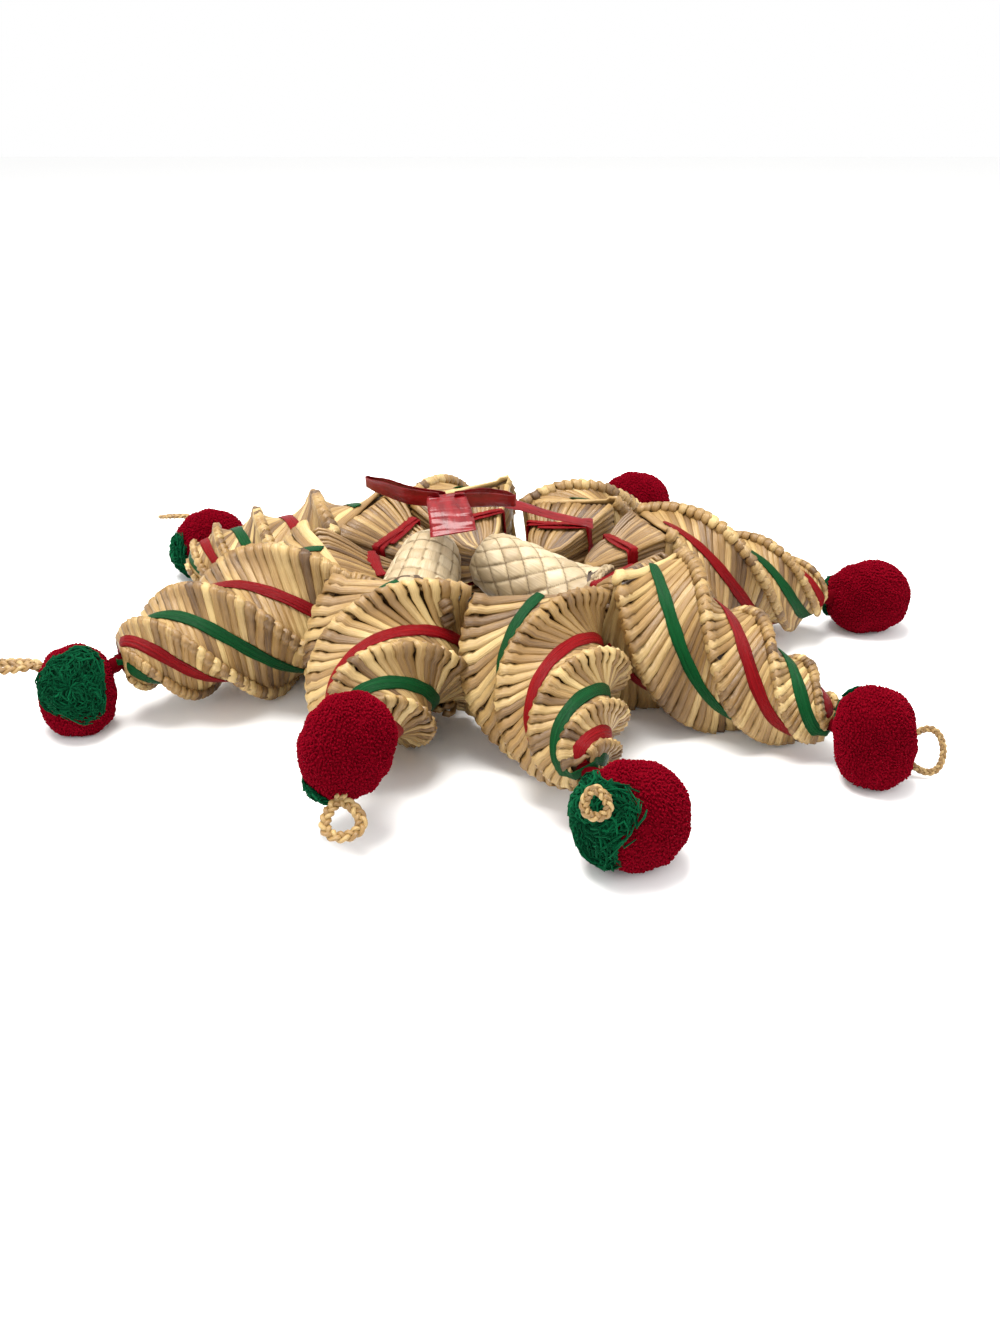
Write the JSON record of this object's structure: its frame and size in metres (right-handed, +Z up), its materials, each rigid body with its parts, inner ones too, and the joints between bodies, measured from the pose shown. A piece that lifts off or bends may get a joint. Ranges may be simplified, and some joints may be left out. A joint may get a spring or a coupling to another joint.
{
  "type": "hanging straw star ornament",
  "caption": "Plaited straw star with spiral arms, yarn pompoms at the tips, two woven palm bells and a red foil bow, lying on its back.",
  "frame": {"origin": "middle of the bottom of the bounding box, on the surface the star lies on", "axes": "+Z up out of the table, away from the star's back; +Y towards the star's back arms, +X to the right of someone facing +Y"},
  "size_m": [0.4528, 0.4292, 0.0914],
  "materials": {
    "straw": "satin natural wheat straw, each stalk with its own tone",
    "palm_leaf": "dull pale woven palm leaf strips",
    "red_raffia": "satin pleated raffia ribbon",
    "green_raffia": "satin pleated raffia ribbon",
    "red_yarn": "cut yarn pile",
    "green_yarn": "cut yarn pile",
    "red_foil": "shiny metallised film ribbon"
  },
  "bodies": {
    "root": {"arm_left": "straw", "green_band_left": "green_raffia", "red_band_left": "red_raffia", "tie_left": "red_raffia", "pompom_left": "red_yarn", "tuft_left": "green_yarn", "loop_left": "straw", "arm_front_left": "straw", "green_band_front_left": "green_raffia", "red_band_front_left": "red_raffia", "tie_front_left": "red_raffia", "pompom_front_left": "red_yarn", "tuft_front_left": "green_yarn", "loop_front_left": "straw", "arm_front": "straw", "green_band_front": "green_raffia", "red_band_front": "red_raffia", "tie_front": "red_raffia", "pompom_front": "red_yarn", "tuft_front": "green_yarn", "loop_front": "straw", "arm_front_right": "straw", "green_band_front_right": "green_raffia", "red_band_front_right": "red_raffia", "tie_front_right": "red_raffia", "pompom_front_right": "red_yarn", "tuft_front_right": "green_yarn", "loop_front_right": "straw", "arm_right": "straw", "green_band_right": "green_raffia", "red_band_right": "red_raffia", "tie_right": "red_raffia", "pompom_right": "red_yarn", "tuft_right": "green_yarn", "loop_right": "straw", "arm_back_right": "straw", "green_band_back_right": "green_raffia", "red_band_back_right": "red_raffia", "tie_back_right": "red_raffia", "pompom_back_right": "red_yarn", "tuft_back_right": "green_yarn", "loop_back_right": "straw", "arm_back": "straw", "green_band_back": "green_raffia", "red_band_back": "red_raffia", "tie_back": "red_raffia", "pompom_back": "red_yarn", "tuft_back": "green_yarn", "loop_back": "straw", "arm_back_left": "straw", "green_band_back_left": "green_raffia", "red_band_back_left": "red_raffia", "tie_back_left": "red_raffia", "pompom_back_left": "red_yarn", "tuft_back_left": "green_yarn", "loop_back_left": "straw", "bell_left": "palm_leaf", "bell_right": "palm_leaf", "bow": "red_foil"}
  },
  "joints": []
}
